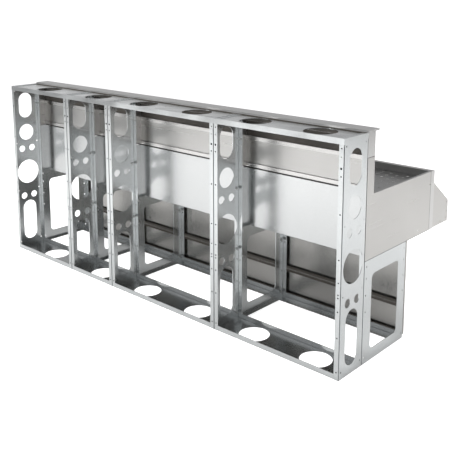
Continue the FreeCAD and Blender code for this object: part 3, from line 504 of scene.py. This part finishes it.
def bolt_washers():
    """A flat washer under the head and the nut of each bolt that joins two bays."""
    bm = bmesh.new()
    stand_front, stand_back = FRONT + DIE_DEPTH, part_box("side_frame_a_left")[1].y
    in_die = (FRONT + DIE_BOLT_INSET, stand_front - DIE_BOLT_INSET)
    in_stand = (stand_front + STAND_BOLT_INSET, stand_back - STAND_BOLT_INSET)
    spots = [(y, z) for y in in_die for z in WEB_BOLT_HEIGHTS]
    spots += [(y, z) for y in in_stand for z in STAND_BOLT_HEIGHTS]
    for bay in "bcd":
        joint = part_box(f"stud_{bay}_left")[0].x
        for y, z in spots:
            add_turned(bm, (joint - GAUGE, y, z), (-1, 0, 0), WASHER, 20)
            add_turned(bm, (joint + GAUGE, y, z), (1, 0, 0), WASHER, 20)
    washer = plated("zinc_washer", (0.46, 0.47, 0.47), (0.80, 0.81, 0.80), 0.28)
    finish_piece("bolt_washers", bm, washer.material)


STRAINER_RINGS = (
    (0.0025, -0.0010), (0.0050, -0.0011), (0.0080, -0.0011), (0.0095, -0.0009),
    (0.0125, -0.0007), (0.0140, -0.0003), (0.0166, 0.0),
)
SLOTTED_RINGS = (1, 3)
STRAINER_SHEET = 0.0006
STRAINER_LIFT = 0.0023
WELL_MARGIN = 0.012
WELLS = {  # each well's inserts side by side, and the height of its floor
    "drainboard_pan_a": (2, 0.712),
    "dump_sink_b": (1, 0.505),
    "ice_bin_c": (1, 0.490),
    "drainboard_pan_d": (3, 0.712),
}


def strainers():
    """A dished strainer with two rings of slots, lying in each drain."""
    bm = bmesh.new()
    sides = 24
    low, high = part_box("drain_tailpieces")
    turns = [math.tau * i / sides for i in range(sides)]
    for well, (count, floor_height) in WELLS.items():
        bay = well[-1]
        left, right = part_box(f"stud_{bay}_left")[0].x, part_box(f"stud_{bay}_right")[1].x
        across = left + WELL_MARGIN + (right - left - 2 * WELL_MARGIN) / (2 * count)
        centre = Vector((across, (low.y + high.y) / 2, floor_height + STRAINER_LIFT))
        rings = []
        for radius, lift in STRAINER_RINGS:
            ring = [Vector((radius * math.cos(t), radius * math.sin(t), lift)) for t in turns]
            rings.append([bm.verts.new(centre + spot) for spot in ring])
        for n, (first, second) in enumerate(zip(rings, rings[1:])):
            for i in range(sides):
                if n in SLOTTED_RINGS and i % 3:
                    continue
                j = (i + 1) % sides
                bm.faces.new((first[i], first[j], second[j], second[i]))
        bm.faces.new(rings[0])
    bmesh.ops.recalc_face_normals(bm, faces=bm.faces)
    bmesh.ops.solidify(bm, geom=bm.faces[:], thickness=STRAINER_SHEET)
    steel = plated("strainer_steel", (0.45, 0.45, 0.44), (0.72, 0.72, 0.71), 0.26)
    finish_piece("drain_strainers", bm, steel.material)


def splash_gap_bead():
    """A dark bead between the wells' back rims and the lower edge of the splash; its near-black
    colour is painted shade of the gap there.
    """
    bm = bmesh.new()
    low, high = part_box("lower_backsplash")
    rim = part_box("dump_sink_b")[1].z
    start, end = low.x + 0.003, high.x - 0.003
    profile = (
        (-0.0010, rim + 0.0002), (0.0034, rim + 0.0002), (0.0022, rim + 0.0022),
        (0.0014, rim + 0.0052), (0.0012, low.z + 0.0008), (-0.0008, low.z + 0.0008),
    )
    steps = 96
    rows = []
    for i in range(steps + 1):
        x = start + (end - start) * i / steps
        swell = 0.0003 * math.sin(i * 2.4) * math.sin(i * 0.7)
        row = [(x, high.y + y + (swell if y > 0 else 0), z) for y, z in profile]
        rows.append([bm.verts.new(spot) for spot in row])
    for first, second in zip(rows, rows[1:]):
        for k in range(len(profile)):
            j = (k + 1) % len(profile)
            bm.faces.new((first[k], first[j], second[j], second[k]))
    bm.faces.new(rows[0])
    bm.faces.new(rows[-1])
    # Near-black: painted shade of the gap under the splash.
    g = plated("gap_bead_shade", (0.035, 0.033, 0.030), (0.075, 0.072, 0.066), 0.55)
    g.shader.inputs["Metallic"].default_value = 0.0
    finish_piece("splash_gap_bead", bm, g.material)


# ---- studio ----

# The reflected studio's grey by height: 0 is straight down, 0.5 the horizon, 1 straight up.
STUDIO_STOPS = (
    (0.0, 1.0), (0.50, 1.0), (0.54, 0.95), (0.585, 0.50), (0.66, 0.36), (1.0, 0.42),
)
FLOOR_REACH = 60.0


def studio_world():
    """A white backdrop to look at, and a softer grey studio to light and be reflected."""
    world = bpy.data.worlds.new("studio")
    world.use_nodes = True
    bpy.context.scene.world = world
    tree = world.node_tree
    tree.nodes.clear()
    output = tree.nodes.new("ShaderNodeOutputWorld")
    direction = tree.nodes.new("ShaderNodeTexCoord").outputs["Generated"]
    split = tree.nodes.new("ShaderNodeSeparateXYZ")
    tree.links.new(direction, split.inputs["Vector"])
    ramp = tree.nodes.new("ShaderNodeValToRGB")
    elements = ramp.color_ramp.elements
    while len(elements) < len(STUDIO_STOPS):
        elements.new(0.5)
    for element, (height, grey) in zip(elements, STUDIO_STOPS):
        element.position = height
        element.color = (grey, grey, grey * 1.01, 1)
    up = tree.nodes.new("ShaderNodeMath")
    up.operation = "MULTIPLY_ADD"
    tree.links.new(split.outputs["Z"], up.inputs[0])
    up.inputs[1].default_value = 0.5
    up.inputs[2].default_value = 0.5
    tree.links.new(up.outputs["Value"], ramp.inputs["Fac"])
    studio = tree.nodes.new("ShaderNodeBackground")
    tree.links.new(ramp.outputs["Color"], studio.inputs["Color"])
    white = tree.nodes.new("ShaderNodeBackground")
    white.inputs["Color"].default_value = (1, 1, 1, 1)
    white.inputs["Strength"].default_value = 1.1
    mix = tree.nodes.new("ShaderNodeMixShader")
    seen = tree.nodes.new("ShaderNodeLightPath").outputs["Is Camera Ray"]
    tree.links.new(seen, mix.inputs["Fac"])
    tree.links.new(studio.outputs["Background"], mix.inputs[1])
    tree.links.new(white.outputs["Background"], mix.inputs[2])
    tree.links.new(mix.outputs["Shader"], output.inputs["Surface"])


def floor_material():
    """A pale floor, a little self-lit so that it runs into the white backdrop."""
    g = Graph("studio_floor")
    haze, _ = g.noise(g.place, 0.8, 2.0)
    g.link(g.tinted(haze, (0.60, 0.60, 0.60), (0.64, 0.64, 0.64)), g.shader.inputs["Base Color"])
    g.shader.inputs["Roughness"].default_value = 0.8
    g.shader.inputs["Specular IOR Level"].default_value = 0.1
    white = g.tree.nodes.new("ShaderNodeEmission")
    white.inputs["Strength"].default_value = 0.82
    together = g.tree.nodes.new("ShaderNodeAddShader")
    g.link(g.shader.outputs["BSDF"], together.inputs[0])
    g.link(white.outputs["Emission"], together.inputs[1])
    mix = g.tree.nodes.new("ShaderNodeMixShader")
    seen = g.tree.nodes.new("ShaderNodeLightPath").outputs["Is Camera Ray"]
    g.link(seen, mix.inputs["Fac"])
    g.link(g.shader.outputs["BSDF"], mix.inputs[1])
    g.link(together.outputs["Shader"], mix.inputs[2])
    output = next(node for node in g.tree.nodes if node.type == "OUTPUT_MATERIAL")
    g.link(mix.outputs["Shader"], output.inputs["Surface"])
    return g.material


def floor():
    far = FLOOR_REACH
    mesh = bpy.data.meshes.new("floor")
    corners = [(-far, -far, 0), (far, -far, 0), (far, far, 0), (-far, far, 0)]
    mesh.from_pydata(corners, [], [(0, 1, 2, 3)])
    item = bpy.data.objects.new("floor", mesh)
    item.location.z = CAD_BOX[0][2] - 0.001
    item.data.materials.append(floor_material())
    bpy.context.scene.collection.objects.link(item)


def soft_light(name, place, target, size, power):
    """A rectangular light that lights the floor but doesn't show as a patch in the metal."""
    data = bpy.data.lights.new(name, "AREA")
    data.shape = "RECTANGLE"
    data.size, data.size_y = size
    data.energy = power
    item = bpy.data.objects.new(name, data)
    item.location = place
    item.rotation_euler = (Vector(target) - Vector(place)).to_track_quat("-Z", "Y").to_euler()
    item.visible_glossy = False
    bpy.context.scene.collection.objects.link(item)


def lights():
    soft_light("front", (-1.5, -3.3, 3.4), (-1.5, -2.8, 0), (5.2, 3.6), 350)
    soft_light("right_back", (3.3, 2.1, 3.2), (3.0, 1.9, 0), (3.8, 3.4), 185)
    soft_light("overhead", (-1.5, 1.5, 3.8), (-0.4, 0, 0.4), (1.6, 1.0), 40)


def camera():
    data = bpy.data.cameras.new("camera")
    data.sensor_width = 36.0
    data.lens = 57.3
    data.shift_y = -0.25
    item = bpy.data.objects.new("camera", data)
    item.location = (2.796, -2.894, 1.623)
    item.rotation_euler = (math.radians(90 - 9.66), 0, math.radians(42.2))
    bpy.context.scene.collection.objects.link(item)
    bpy.context.scene.camera = item
    bpy.context.scene.view_settings.view_transform = "Standard"


dress()
flange_rivets()
screw_recesses()
bolt_washers()
strainers()
splash_gap_bead()
studio_world()
floor()
lights()
camera()
